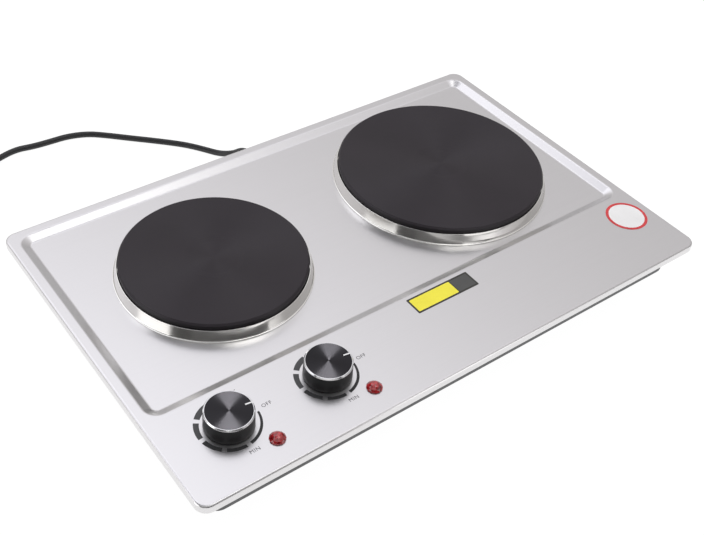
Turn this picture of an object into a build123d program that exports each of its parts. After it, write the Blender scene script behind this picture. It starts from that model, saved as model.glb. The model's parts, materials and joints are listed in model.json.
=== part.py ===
from build123d import *
import os
from math import asin, atan2, cos, degrees, pi, radians, sin, sqrt, tan

# Double hot plate. Millimetres, +Z up, origin on the floor under the middle of the top panel,
# controls towards -Y.

os.makedirs("parts", exist_ok=True)

# Top panel: one pressed sheet with a folded skirt and a sunk burner area
panel_width = 500.0
panel_depth = 320.0
panel_sheet = 0.8
panel_corner = 10.0
panel_bend = 2.0
skirt_height = 7.0
rim_width = 9.0
control_depth = 84.5
recess_depth = 4.0
recess_run = 7.0
recess_corner = 12.0
recess_blend = 3.0

# Base tray and feet
foot_height = 15.0
base_height = 33.0
base_sheet = 0.8
base_inset_side = 14.0
base_inset_end = 12.0
base_corner = 12.0
base_bend = 2.0
base_flange = 9.0
vent_length = 34.0
vent_width = 4.0
vent_pitch = 11.0
vent_rows = 7
foot_top_radius = 10.0
foot_bottom_radius = 8.5
foot_inset = 32.0
foot_bore_radius = 4.6
foot_bore_depth = 9.0
post_radius = 4.5
post_inset_side = 17.0
post_inset_end = 14.0
post_thread_depth = 10.0

# Cast plates and what holds them
small_plate_diameter = 155.0
large_plate_diameter = 187.5
plate_spacing = 241.4
plate_shift = -1.6
plate_rise = 11.0
plate_edge = 1.5
plate_rim_thickness = 9.0
plate_shoulder = 7.0
plate_wall = 5.0
plate_wall_depth = 12.0
plate_hub_radius = 30.0
plate_boss_radius = 9.0
dimple_radius = 24.5
dimple_depth = 0.3
dimple_slope = 5.0
ring_sheet = 0.7
ring_gap = 0.9
ring_lip_drop = 3.8
ring_flare = 3.2
ring_curve = 16.0
ring_flange = 0.6
ring_foot = 1.4
ring_shelf = 5.0
heater_thickness = 8.0
cover_sheet = 0.8
cover_lap = 1.0
stud_radius = 3.0
stud_drop = 15.2
stud_bite = 10.0
bridge_sheet = 1.5
bridge_width = 22.0
bridge_drop = 6.2
bridge_reach = 9.0
bridge_leg_gap = 2.5
bridge_leg_slope = 3.0
nut_flats = 10.0
nut_height = 5.0
terminal_size = (24.0, 14.0, 8.0)
terminal_corner = 2.0
terminal_offset = 34.0
tab_size = (5.0, 8.0, 0.8)
tab_spacing = 14.0

# Controls: knob, shaft and thermostat
knob_pitch = 85.3
knob_side = 53.5
knob_front = 51.8
knob_height = 15.0
knob_gap = 0.8
knob_base_radius = 18.6
knob_top_radius = 18.3
knob_wall = 1.8
knob_roof = 2.4
knob_hub_radius = 5.5
knob_hub_gap = 0.7
knob_rib = 1.2
knob_rib_depth = 5.8
cap_radius = 17.2
cap_sheet = 0.8
knob_ring_height = 1.4
knob_ring_bevel = 0.7
pointer_length = 4.4
pointer_width = 1.2
pointer_depth = 0.4
pointer_angle = -8.0
shaft_radius = 3.0
shaft_flat = 2.2
shaft_foot = 8.5
shaft_head_gap = 0.4
bush_radius = 4.5
bush_rise = 1.8
frame_size = (34.0, 22.0, 1.5)
frame_corner = 3.5
thermostat_size = (18.0, 30.0, 13.0)
thermostat_corner = 3.0
thermostat_boss_radius = 7.0
thermostat_boss_depth = 2.0
thermostat_tab_level = 9.7
thermostat_tab_spacing = 11.0
fixing_spacing = 24.0
fixing_radius = 1.25
fixing_head_radius = 2.8
fixing_head_height = 1.8
fixing_length = 4.0

# Lamps
lamp_offset = (21.3, -29.2)
lens_collar_radius = 6.25
lens_collar_height = 1.2
lens_dome_radius = 5.6
lens_dome_height = 3.2
lamp_stem_radius = 4.8
lamp_stem_depth = 2.0
lamp_holder_length = 15.0
lamp_clip_radius = 7.4
lamp_clip_sheet = 0.8

# Mains entry
gland_x = 6.0
gland_z = 24.0
gland_flange_radius = 8.5
gland_flange = 2.0
gland_neck_radius = 5.6
gland_root_radius = 6.2
gland_tip_radius = 4.3
gland_length = 20.0
gland_grooves = 4
gland_groove_depth = 0.6
gland_inner_radius = 7.2
mains_terminal_size = (40.0, 17.0, 15.0)
mains_terminal_y = 112.0
mains_pole_pitch = 12.0
mains_pole_slot = 2.4
earth_stud_x = -34.0
earth_stud_height = 12.0
lead_radius = 1.3
lead_bend = 5.0
lead_hop = 8.0
lead_drop = 19.0
lead_lane = 8.0
lead_aisle = 36.0
left_lead_rise = 30.0
right_lead_rise = 23.0
plate_lead_span = 57.0
right_lead_span = 76.0

# Cord, the coil of its spare length, and plug
cord_diameter = 6.0
coil_centre = (-240.2, 336.3)
coil_radius = 33.0
coil_width = 12.0
coil_height = 12.0
coil_entry_length = 27.0
coil_approach = 11.0
coil_entry_heading = (-0.928, -0.372)
coil_exit_length = 30.0
tie_sheet = 0.8
tie_width = 8.0
tie_angle = 40.0
tie_slack = 0.4
plug_size = (30.0, 36.0, 24.0)
plug_corner = 8.0
plug_back_round = 5.0
plug_relief_length = 22.0
plug_relief_root = 6.5
plug_relief_tip = 4.2
blade_size = (6.35, 17.5, 1.5)
blade_spacing = 12.7
earth_pin_radius = 2.4
earth_pin_length = 20.0
earth_pin_offset = 11.9
plug_pin_shift = 4.5

# Screws that join panel, base and feet
screw_radius = 1.65
screw_head_radius = 3.6
screw_head_height = 2.2
screw_bite = 8.0
foot_screw_radius = 2.0
foot_nut_flats = 7.0
foot_nut_height = 3.0

# Clearances
slip = 0.05
loose = 0.2
running = 0.05

# Levels worked out from the sizes above
rim_z = foot_height + base_height
panel_under_z = rim_z - panel_sheet
skirt_z = rim_z - skirt_height
recess_z = rim_z - recess_depth
seat_z = recess_z - panel_sheet
floor_z = foot_height + base_sheet
plate_z = rim_z + plate_rise
shoulder_z = plate_z - plate_rim_thickness
plate_wall_z = shoulder_z - plate_wall_depth
cover_z = plate_wall_z - cover_sheet
bridge_z = cover_z - bridge_drop
knob_z = rim_z + knob_gap
knob_face_z = rim_z + knob_height
bush_z = rim_z + bush_rise
frame_under_z = panel_under_z - frame_size[2]
thermostat_under_z = frame_under_z - thermostat_size[2]
cord_radius = cord_diameter / 2

recess_width = panel_width - 2 * rim_width
recess_length = panel_depth - rim_width - control_depth
recess_y = (control_depth - rim_width) / 2
plate_y = recess_y + plate_shift
left_knob_x = -panel_width / 2 + knob_side
knob_y = -panel_depth / 2 + knob_front
base_width = panel_width - 2 * base_inset_side
base_depth = panel_depth - 2 * base_inset_end
foot_x = base_width / 2 - foot_inset
foot_y = base_depth / 2 - foot_inset
post_x = base_width / 2 - post_inset_side
post_y = base_depth / 2 - post_inset_end

plates = {
    "left": (-plate_spacing / 2, small_plate_diameter / 2),
    "right": (plate_spacing / 2, large_plate_diameter / 2),
}
knobs = {"left": left_knob_x, "right": left_knob_x + knob_pitch}


def save(builder, node):
    """Labels one finished piece and writes it as its own file."""
    builder.part.label = node
    export_step(builder.part, f"parts/{node}.step")


def section(x, y):
    """The upright plane through an axis at x, y: its local x is the radius and its local y is Z."""
    return Plane(origin=(x, y, 0), x_dir=(1, 0, 0), z_dir=(0, -1, 0))


def upright(x, y):
    """The vertical axis through x, y."""
    return Axis((x, y, 0), (0, 0, 1))


def hexagon_radius(flats):
    """Corner radius of a hexagon that measures flats across."""
    return flats / sqrt(3)


def turned(x, y, points):
    """A solid of revolution about the vertical axis at x, y from points given as radius and height."""
    with BuildPart() as shape:
        with BuildSketch(section(x, y)):
            with BuildLine():
                Polyline(*points, close=True)
            make_face()
        revolve(axis=upright(x, y))
    return shape


# Top panel: the outer form is pressed first and then hollowed to one sheet
with BuildPart() as top_panel:
    with BuildSketch(Plane.XY.offset(skirt_z)):
        RectangleRounded(panel_width, panel_depth, panel_corner)
    extrude(amount=skirt_height)
    fillet(top_panel.edges().group_by(Axis.Z)[-1], panel_bend)
    with BuildSketch(Plane.XY.offset(rim_z)):
        with Locations((0, recess_y)):
            RectangleRounded(recess_width, recess_length, recess_corner)
    extrude(amount=-recess_depth, taper=degrees(atan2(recess_run, recess_depth)), mode=Mode.SUBTRACT)
    rim_face = top_panel.faces().filter_by(Plane.XY).sort_by(Axis.Z)[-1]
    fillet(rim_face.inner_wires()[0].edges(), recess_blend)
    level_faces = top_panel.faces().filter_by(Plane.XY)
    well_face = level_faces.filter_by_position(Axis.Z, recess_z - slip, recess_z + slip)[0]
    fillet(well_face.outer_wire().edges(), recess_blend)
    offset(amount=-panel_sheet, openings=top_panel.faces().sort_by(Axis.Z)[0])

    # Openings for the plates, the bushes with their fixing screws, and the lamps
    for plate_x, plate_radius in plates.values():
        with BuildSketch(Plane.XY.offset(seat_z)):
            with Locations((plate_x, plate_y)):
                Circle(plate_radius - ring_shelf)
        extrude(amount=panel_sheet, mode=Mode.SUBTRACT)
    with BuildSketch(Plane.XY.offset(panel_under_z)):
        for knob_x in knobs.values():
            with Locations((knob_x, knob_y)):
                Circle(bush_radius + loose)
                with GridLocations(fixing_spacing, 1, 2, 1):
                    Circle(fixing_radius + loose)
            with Locations((knob_x + lamp_offset[0], knob_y + lamp_offset[1])):
                Circle(lamp_stem_radius + loose)
    extrude(amount=panel_sheet, mode=Mode.SUBTRACT)
save(top_panel, "top_panel")

# Base tray
with BuildPart() as base_tray:
    with BuildSketch(Plane.XY.offset(foot_height)):
        RectangleRounded(base_width, base_depth, base_corner)
    extrude(amount=seat_z - foot_height)
    fillet(base_tray.edges().group_by(Axis.Z)[0], base_bend)
    offset(amount=-base_sheet, openings=base_tray.faces().sort_by(Axis.Z)[-1])

    # Flange turned in along the sides and the back, which the panel rests on
    flange_front = -base_depth / 2 + base_sheet
    flange_back = base_depth / 2 - base_flange
    with BuildSketch(Plane.XY.offset(seat_z)):
        RectangleRounded(base_width, base_depth, base_corner)
        with Locations((0, (flange_front + flange_back) / 2)):
            Rectangle(base_width - 2 * base_flange, flange_back - flange_front, mode=Mode.SUBTRACT)
    extrude(amount=-base_sheet)

    # Cooling slots under each plate, and holes for the foot and panel screws
    with BuildSketch(Plane.XY.offset(foot_height)):
        for plate_x, plate_radius in plates.values():
            with Locations((plate_x, plate_y)):
                with GridLocations(1, vent_pitch, 1, vent_rows):
                    SlotOverall(vent_length, vent_width)
        with GridLocations(2 * foot_x, 2 * foot_y, 2, 2):
            Circle(foot_screw_radius + loose)
        with GridLocations(2 * post_x, 2 * post_y, 2, 2):
            Circle(screw_radius + loose)
    extrude(amount=base_sheet, mode=Mode.SUBTRACT)

    # Hole for the cord gland in the back wall
    with BuildSketch(Plane(origin=(gland_x, base_depth / 2, gland_z), z_dir=(0, 1, 0))):
        Circle(gland_neck_radius + slip)
    extrude(amount=-base_sheet, mode=Mode.SUBTRACT)
save(base_tray, "base_tray")

# Posts under the panel that the base is screwed to
with BuildPart() as panel_posts:
    for side in (-1, 1):
        for end, top_z in ((-1, panel_under_z), (1, seat_z)):
            with BuildSketch(Plane.XY.offset(floor_z)):
                with Locations((side * post_x, end * post_y)):
                    Circle(post_radius)
                    Circle(screw_radius + slip, mode=Mode.SUBTRACT)
            extrude(amount=post_thread_depth)
            with BuildSketch(Plane.XY.offset(floor_z + post_thread_depth)):
                with Locations((side * post_x, end * post_y)):
                    Circle(post_radius)
            extrude(amount=top_z - floor_z - post_thread_depth)
save(panel_posts, "panel_posts")

with BuildPart() as base_screws:
    with BuildSketch(Plane.XY.offset(foot_height)):
        with GridLocations(2 * post_x, 2 * post_y, 2, 2):
            Circle(screw_head_radius)
    extrude(amount=-screw_head_height)
    with BuildSketch(Plane.XY.offset(foot_height)):
        with GridLocations(2 * post_x, 2 * post_y, 2, 2):
            Circle(screw_radius)
    extrude(amount=base_sheet + screw_bite)
save(base_screws, "base_screws")

# Rubber feet with their screws and nuts
for end, end_name in ((-1, "front"), (1, "back")):
    for side, side_name in ((-1, "left"), (1, "right")):
        foot = turned(
            side * foot_x,
            end * foot_y,
            [
                (foot_screw_radius + slip, foot_height),
                (foot_top_radius, foot_height),
                (foot_bottom_radius, 0),
                (foot_bore_radius, 0),
                (foot_bore_radius, foot_bore_depth),
                (foot_screw_radius + slip, foot_bore_depth),
            ],
        )
        save(foot, f"foot_{end_name}_{side_name}")

with BuildPart() as foot_screws:
    with BuildSketch(Plane.XY.offset(foot_bore_depth)):
        with GridLocations(2 * foot_x, 2 * foot_y, 2, 2):
            Circle(screw_head_radius)
    extrude(amount=-screw_head_height)
    with BuildSketch(Plane.XY.offset(foot_bore_depth)):
        with GridLocations(2 * foot_x, 2 * foot_y, 2, 2):
            Circle(foot_screw_radius)
    extrude(amount=floor_z + foot_nut_height - foot_bore_depth)
save(foot_screws, "foot_screws")

with BuildPart() as foot_nuts:
    with BuildSketch(Plane.XY.offset(floor_z)):
        with GridLocations(2 * foot_x, 2 * foot_y, 2, 2):
            RegularPolygon(hexagon_radius(foot_nut_flats), 6)
            Circle(foot_screw_radius + slip, mode=Mode.SUBTRACT)
    extrude(amount=foot_nut_height)
save(foot_nuts, "foot_nuts")


def cast_plate(plate_x, radius):
    """Cast-iron plate: flat face with a shallow dimple, stepped rim, heater groove and centre boss."""
    groove_radius = radius - plate_shoulder - plate_wall
    return turned(
        plate_x,
        plate_y,
        [
            (0, plate_z - dimple_depth),
            (dimple_radius - dimple_slope, plate_z - dimple_depth),
            (dimple_radius, plate_z),
            (radius - plate_edge, plate_z),
            (radius, plate_z - plate_edge),
            (radius, shoulder_z),
            (radius - plate_shoulder, shoulder_z),
            (radius - plate_shoulder, plate_wall_z),
            (groove_radius, plate_wall_z),
            (groove_radius, shoulder_z),
            (plate_hub_radius, shoulder_z),
            (plate_hub_radius, plate_wall_z),
            (plate_hub_radius - plate_wall, plate_wall_z),
            (plate_hub_radius - plate_wall, shoulder_z),
            (plate_boss_radius, shoulder_z),
            (plate_boss_radius, cover_z),
            (stud_radius + slip, cover_z),
            (stud_radius + slip, cover_z + stud_bite),
            (0, cover_z + stud_bite),
        ],
    )


def trim_ring(plate_x, radius):
    """Polished ring: foot on the panel, shelf under the plate, and a bulged band that hides the gap."""
    lip_z = plate_z - ring_lip_drop
    foot_z = recess_z + ring_foot
    shelf_under_z = shoulder_z - ring_sheet
    lip_radius = radius + ring_gap + ring_sheet
    foot_radius = lip_radius + ring_flare
    edge_radius = foot_radius + ring_flange

    # The band is an arc from lip to foot that turns by ring_curve either side of its middle
    lean = atan2(ring_flare, lip_z - foot_z)
    half_chord = sqrt(ring_flare**2 + (lip_z - foot_z) ** 2) / 2
    bulge_radius = half_chord / sin(radians(ring_curve))
    inset = bulge_radius * cos(radians(ring_curve))
    middle_radius = (lip_radius + foot_radius) / 2 - inset * cos(lean)
    middle_z = (lip_z + foot_z) / 2 - inset * sin(lean)

    def band(z, depth):
        """The point of the band at a height, so far in from its outer face."""
        return (middle_radius + sqrt((bulge_radius - depth) ** 2 - (z - middle_z) ** 2), z)

    def curve(from_z, to_z, depth):
        """One stretch of the band's outer or inner face."""
        return ThreePointArc(band(from_z, depth), band((from_z + to_z) / 2, depth), band(to_z, depth))

    with BuildPart() as ring:
        with BuildSketch(section(plate_x, plate_y)):
            with BuildLine():
                curve(lip_z, shoulder_z, ring_sheet)
                Polyline(
                    band(shoulder_z, ring_sheet),
                    (radius - ring_shelf, shoulder_z),
                    (radius - ring_shelf, shelf_under_z),
                    band(shelf_under_z, ring_sheet),
                )
                curve(shelf_under_z, foot_z, ring_sheet)
                Polyline(
                    band(foot_z, ring_sheet),
                    (foot_radius - ring_sheet, recess_z),
                    (edge_radius, recess_z),
                    (edge_radius, recess_z + ring_sheet),
                    band(foot_z, 0),
                )
                curve(foot_z, lip_z, 0)
                Line(band(lip_z, 0), band(lip_z, ring_sheet))
            make_face()
        revolve(axis=upright(plate_x, plate_y))
    return ring


def clamp_bridge(plate_x, radius):
    """Strip bent into a bridge: its ends press on the panel from below and its middle takes the stud."""
    inner_foot = radius - bridge_leg_gap
    middle_end = inner_foot - bridge_leg_slope
    half = [
        (0, bridge_z),
        (middle_end, bridge_z),
        (inner_foot, seat_z),
        (radius + bridge_reach, seat_z),
        (radius + bridge_reach, seat_z - bridge_sheet),
        (inner_foot + bridge_sheet, seat_z - bridge_sheet),
        (middle_end + bridge_sheet, bridge_z - bridge_sheet),
        (0, bridge_z - bridge_sheet),
    ]
    with BuildPart() as bridge:
        with BuildSketch(section(plate_x, plate_y)):
            with BuildLine():
                Polyline(*half, close=True)
            make_face()
            mirror(about=Plane.YZ)
        extrude(amount=bridge_width / 2, both=True)
        with BuildSketch(Plane.XY.offset(bridge_z)):
            with Locations((plate_x, plate_y)):
                Circle(stud_radius + loose)
        extrude(amount=-bridge_sheet, mode=Mode.SUBTRACT)
    return bridge


# Plates, each with its ring, heater, cover, bridge and ceramic terminal
for side_name, (plate_x, plate_radius) in plates.items():
    groove_radius = plate_radius - plate_shoulder - plate_wall
    save(cast_plate(plate_x, plate_radius), f"{side_name}_plate")
    save(trim_ring(plate_x, plate_radius), f"{side_name}_trim_ring")
    save(clamp_bridge(plate_x, plate_radius), f"{side_name}_clamp_bridge")

    with BuildPart() as heater_ring:
        with BuildSketch(Plane.XY.offset(shoulder_z)):
            with Locations((plate_x, plate_y)):
                Circle(groove_radius - slip)
                Circle(plate_hub_radius + slip, mode=Mode.SUBTRACT)
        extrude(amount=-heater_thickness)
    save(heater_ring, f"{side_name}_heater_ring")

    with BuildPart() as plate_cover:
        with BuildSketch(Plane.XY.offset(cover_z)):
            with Locations((plate_x, plate_y)):
                Circle(plate_radius - plate_shoulder - cover_lap)
                Circle(plate_boss_radius + loose, mode=Mode.SUBTRACT)
        extrude(amount=cover_sheet)
    save(plate_cover, f"{side_name}_plate_cover")

    with BuildPart() as plate_terminal:
        with BuildSketch(Plane.XY.offset(cover_z)):
            with Locations((plate_x, plate_y - terminal_offset)):
                RectangleRounded(terminal_size[0], terminal_size[1], terminal_corner)
        extrude(amount=-terminal_size[2])
    save(plate_terminal, f"{side_name}_plate_terminal")

terminal_front_y = plate_y - terminal_offset - terminal_size[1] / 2
terminal_tab_z = cover_z - terminal_size[2] / 2

with BuildPart() as plate_terminal_tabs:
    for plate_x, plate_radius in plates.values():
        with Locations((plate_x, terminal_front_y - tab_size[1] / 2, terminal_tab_z)):
            with GridLocations(tab_spacing, 1, 2, 1):
                Box(*tab_size)
save(plate_terminal_tabs, "plate_terminal_tabs")

with BuildPart() as plate_studs:
    with BuildSketch(Plane.XY.offset(cover_z + stud_bite)):
        with Locations((0, plate_y)):
            with GridLocations(plate_spacing, 1, 2, 1):
                Circle(stud_radius)
    extrude(amount=-(stud_bite + stud_drop))
save(plate_studs, "plate_studs")

with BuildPart() as clamp_nuts:
    with BuildSketch(Plane.XY.offset(bridge_z - bridge_sheet)):
        with Locations((0, plate_y)):
            with GridLocations(plate_spacing, 1, 2, 1):
                RegularPolygon(hexagon_radius(nut_flats), 6)
                Circle(stud_radius + slip, mode=Mode.SUBTRACT)
    extrude(amount=-nut_height)
save(clamp_nuts, "clamp_nuts")


def knob_body(knob_x):
    """Moulded knob, hollow below, with a D-bored hub on ribs and a step for the bright ring."""
    seat = knob_face_z - cap_sheet
    step_z = knob_face_z - knob_ring_height
    roof_z = seat - knob_roof
    hub_z = bush_z + knob_hub_gap
    with BuildPart() as body:
        with BuildSketch(section(knob_x, knob_y)):
            with BuildLine():
                Polyline(
                    (0, roof_z),
                    (knob_top_radius - knob_wall, roof_z),
                    (knob_base_radius - knob_wall, knob_z),
                    (knob_base_radius, knob_z),
                    (knob_top_radius, step_z),
                    (cap_radius, step_z),
                    (cap_radius, seat),
                    (0, seat),
                    close=True,
                )
            make_face()
        revolve(axis=upright(knob_x, knob_y))
        with BuildSketch(Plane.XY.offset(roof_z)):
            with Locations((knob_x, knob_y)):
                Circle(knob_hub_radius)
        extrude(amount=hub_z - roof_z)
        with BuildSketch(Plane.XY.offset(roof_z)):
            with Locations((knob_x, knob_y)):
                Rectangle(2 * knob_top_radius - knob_wall, knob_rib)
                Rectangle(knob_rib, 2 * knob_top_radius - knob_wall)
        extrude(amount=-knob_rib_depth)
        with BuildSketch(Plane.XY.offset(hub_z)):
            with Locations((knob_x, knob_y)):
                Circle(shaft_radius + slip)
                with Locations((0, shaft_flat + slip + shaft_radius)):
                    Rectangle(4 * shaft_radius, 2 * shaft_radius, mode=Mode.SUBTRACT)
        extrude(amount=roof_z - hub_z, mode=Mode.SUBTRACT)
    return body


def knob_cap(knob_x):
    """Spun metal disc in the knob's face, with a shallow groove for the pointer."""
    with BuildPart() as cap:
        with BuildSketch(Plane.XY.offset(knob_face_z - cap_sheet)):
            with Locations((knob_x, knob_y)):
                Circle(cap_radius)
        extrude(amount=cap_sheet)
        with BuildSketch(Plane.XY.offset(knob_face_z)):
            with Locations(pointer_place(knob_x)):
                Rectangle(pointer_length, pointer_width)
        extrude(amount=-pointer_depth, mode=Mode.SUBTRACT)
    return cap


def pointer_place(knob_x):
    """Where the pointer lies at rest, turned to the off mark."""
    middle = cap_radius - pointer_length / 2 - knob_ring_bevel
    angle = radians(pointer_angle)
    return Location((knob_x + middle * cos(angle), knob_y + middle * sin(angle), 0), (0, 0, pointer_angle))


# Controls
for side_name, knob_x in knobs.items():
    save(knob_body(knob_x), f"{side_name}_knob_body")
    save(knob_cap(knob_x), f"{side_name}_knob_cap")

    knob_ring = turned(
        knob_x,
        knob_y,
        [
            (cap_radius, knob_face_z - knob_ring_height),
            (knob_top_radius, knob_face_z - knob_ring_height),
            (knob_top_radius, knob_face_z - knob_ring_bevel),
            (knob_top_radius - knob_ring_bevel, knob_face_z),
            (cap_radius, knob_face_z),
        ],
    )
    save(knob_ring, f"{side_name}_knob_ring")

    with BuildPart() as knob_pointer:
        with BuildSketch(Plane.XY.offset(knob_face_z - pointer_depth)):
            with Locations(pointer_place(knob_x)):
                Rectangle(pointer_length, pointer_width)
        extrude(amount=pointer_depth + slip)
    save(knob_pointer, f"{side_name}_knob_pointer")

    shaft_top_z = knob_face_z - cap_sheet - knob_roof - shaft_head_gap
    with BuildPart() as thermostat_shaft:
        with BuildSketch(Plane.XY.offset(frame_under_z - shaft_foot)):
            with Locations((knob_x, knob_y)):
                Circle(shaft_radius)
        extrude(amount=shaft_top_z - frame_under_z + shaft_foot)
        with BuildSketch(Plane.XY.offset(bush_z)):
            with Locations((knob_x, knob_y + shaft_flat + shaft_radius)):
                Rectangle(4 * shaft_radius, 2 * shaft_radius)
        extrude(amount=shaft_top_z - bush_z, mode=Mode.SUBTRACT)
    save(thermostat_shaft, f"{side_name}_thermostat_shaft")

    with BuildPart() as thermostat_frame:
        with BuildSketch(Plane.XY.offset(frame_under_z)):
            with Locations((knob_x, knob_y)):
                RectangleRounded(frame_size[0], frame_size[1], frame_corner)
        extrude(amount=frame_size[2])
        with BuildSketch(Plane.XY.offset(panel_under_z)):
            with Locations((knob_x, knob_y)):
                Circle(bush_radius)
        extrude(amount=bush_z - panel_under_z)
        with BuildSketch(Plane.XY.offset(frame_under_z)):
            with Locations((knob_x, knob_y)):
                Circle(shaft_radius + running)
                with GridLocations(fixing_spacing, 1, 2, 1):
                    Circle(fixing_radius + slip)
        extrude(amount=bush_z - frame_under_z, mode=Mode.SUBTRACT)
    save(thermostat_frame, f"{side_name}_thermostat_frame")

    with BuildPart() as thermostat_body:
        with BuildSketch(Plane.XY.offset(thermostat_under_z)):
            with Locations((knob_x, knob_y)):
                RectangleRounded(thermostat_size[0], thermostat_size[1], thermostat_corner)
        extrude(amount=thermostat_size[2])
        with BuildSketch(Plane.XY.offset(thermostat_under_z)):
            with Locations((knob_x, knob_y)):
                Circle(thermostat_boss_radius)
        extrude(amount=-thermostat_boss_depth)
        with BuildSketch(Plane.XY.offset(frame_under_z)):
            with Locations((knob_x, knob_y)):
                Circle(shaft_radius + loose)
        extrude(amount=-(shaft_foot + loose), mode=Mode.SUBTRACT)
    save(thermostat_body, f"{side_name}_thermostat_body")

thermostat_back_y = knob_y + thermostat_size[1] / 2
thermostat_tab_z = frame_under_z - thermostat_tab_level

with BuildPart() as thermostat_tabs:
    for knob_x in knobs.values():
        with Locations((knob_x, thermostat_back_y + tab_size[1] / 2, thermostat_tab_z)):
            with GridLocations(thermostat_tab_spacing, 1, 2, 1):
                Box(*tab_size)
save(thermostat_tabs, "thermostat_tabs")

with BuildPart() as thermostat_screws:
    for knob_x in knobs.values():
        for side in (-1, 1):
            with BuildSketch(Plane.XY.offset(rim_z)):
                with Locations((knob_x + side * fixing_spacing / 2, knob_y)):
                    Circle(fixing_head_radius)
            extrude(amount=fixing_head_height)
            with BuildSketch(Plane.XY.offset(rim_z)):
                with Locations((knob_x + side * fixing_spacing / 2, knob_y)):
                    Circle(fixing_radius)
            extrude(amount=-fixing_length)
save(thermostat_screws, "thermostat_screws")

# Lamps
lamp_stem_z = rim_z - lamp_stem_depth
lamp_places = {name: (x + lamp_offset[0], knob_y + lamp_offset[1]) for name, x in knobs.items()}
ball_radius = (lens_dome_radius**2 + lens_dome_height**2) / (2 * lens_dome_height)
half_dome = asin(lens_dome_radius / ball_radius) / 2

for side_name, (lamp_x, lamp_y) in lamp_places.items():
    collar_z = rim_z + lens_collar_height
    with BuildPart() as lamp_lens:
        with BuildSketch(section(lamp_x, lamp_y)):
            with BuildLine():
                Polyline(
                    (0, collar_z + lens_dome_height),
                    (0, lamp_stem_z),
                    (lamp_stem_radius, lamp_stem_z),
                    (lamp_stem_radius, rim_z),
                    (lens_collar_radius, rim_z),
                    (lens_collar_radius, collar_z),
                    (lens_dome_radius, collar_z),
                )
                ThreePointArc(
                    (lens_dome_radius, collar_z),
                    (
                        ball_radius * sin(half_dome),
                        collar_z + lens_dome_height - ball_radius * (1 - cos(half_dome)),
                    ),
                    (0, collar_z + lens_dome_height),
                )
            make_face()
        revolve(axis=upright(lamp_x, lamp_y))
    save(lamp_lens, f"{side_name}_lamp_lens")

    with BuildPart() as lamp_holder:
        with BuildSketch(Plane.XY.offset(lamp_stem_z)):
            with Locations((lamp_x, lamp_y)):
                Circle(lamp_stem_radius)
        extrude(amount=-lamp_holder_length)
    save(lamp_holder, f"{side_name}_lamp_holder")

with BuildPart() as lamp_clips:
    with BuildSketch(Plane.XY.offset(panel_under_z)):
        for lamp_place in lamp_places.values():
            with Locations(lamp_place):
                Circle(lamp_clip_radius)
                Circle(lamp_stem_radius + slip, mode=Mode.SUBTRACT)
    extrude(amount=-lamp_clip_sheet)
save(lamp_clips, "lamp_clips")

# Mains terminal, its screw and the earth stud on the base floor
with BuildPart() as mains_terminal:
    with BuildSketch(Plane.XY.offset(floor_z)):
        with Locations((gland_x, mains_terminal_y)):
            RectangleRounded(mains_terminal_size[0], mains_terminal_size[1], terminal_corner)
    extrude(amount=mains_terminal_size[2])
    with BuildSketch(Plane.XY.offset(floor_z + mains_terminal_size[2])):
        with Locations((gland_x, mains_terminal_y)):
            with GridLocations(mains_pole_pitch, 1, 2, 1):
                Rectangle(mains_pole_slot, mains_terminal_size[1])
    extrude(amount=-mains_terminal_size[2] / 2, mode=Mode.SUBTRACT)
    with BuildSketch(Plane.XY.offset(floor_z + mains_terminal_size[2])):
        with Locations((gland_x, mains_terminal_y)):
            Circle(foot_screw_radius + slip)
    extrude(amount=-mains_terminal_size[2], mode=Mode.SUBTRACT)
save(mains_terminal, "mains_terminal")

with BuildPart() as mains_terminal_screw:
    with BuildSketch(Plane.XY.offset(floor_z)):
        with Locations((gland_x, mains_terminal_y)):
            Circle(foot_screw_radius)
    extrude(amount=mains_terminal_size[2])
    with BuildSketch(Plane.XY.offset(floor_z + mains_terminal_size[2])):
        with Locations((gland_x, mains_terminal_y)):
            Circle(screw_head_radius)
    extrude(amount=screw_head_height)
save(mains_terminal_screw, "mains_terminal_screw")

with BuildPart() as earth_stud:
    with BuildSketch(Plane.XY.offset(floor_z)):
        with Locations((earth_stud_x, mains_terminal_y)):
            Circle(foot_screw_radius)
    extrude(amount=earth_stud_height)
    with BuildSketch(Plane.XY.offset(floor_z)):
        with Locations((earth_stud_x, mains_terminal_y)):
            RegularPolygon(hexagon_radius(foot_nut_flats), 6)
    extrude(amount=foot_nut_height)
save(earth_stud, "earth_stud")

# Gland: a moulded bush with a flange each side of the wall and a ringed, tapering sleeve outside
wall_y = base_depth / 2
gland_tip_y = wall_y + gland_length
groove_pitch = (gland_length - gland_flange) / (gland_grooves + 1)
sleeve_taper = (gland_root_radius - gland_tip_radius) / (gland_length - gland_flange)

with BuildPart() as cord_gland:
    inner_y = wall_y - base_sheet - gland_flange
    with BuildSketch(Plane(origin=(gland_x, 0, gland_z), z_dir=(0, 0, 1))):
        with BuildLine():
            Polyline(
                (cord_radius + slip, inner_y),
                (gland_inner_radius, inner_y),
                (gland_inner_radius, wall_y - base_sheet),
                (gland_neck_radius, wall_y - base_sheet),
                (gland_neck_radius, wall_y),
                (gland_flange_radius, wall_y),
                (gland_flange_radius, wall_y + gland_flange),
                (gland_root_radius, wall_y + gland_flange),
                (gland_tip_radius, gland_tip_y),
                (cord_radius + slip, gland_tip_y),
                close=True,
            )
        make_face()
        for groove in range(1, gland_grooves + 1):
            groove_y = wall_y + gland_flange + groove * groove_pitch
            outside = gland_root_radius - sleeve_taper * groove * groove_pitch
            with Locations((outside, groove_y)):
                Rectangle(2 * gland_groove_depth, groove_pitch / 3, mode=Mode.SUBTRACT)
    revolve(axis=Axis((gland_x, 0, gland_z), (0, 1, 0)))
save(cord_gland, "cord_gland")

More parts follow.
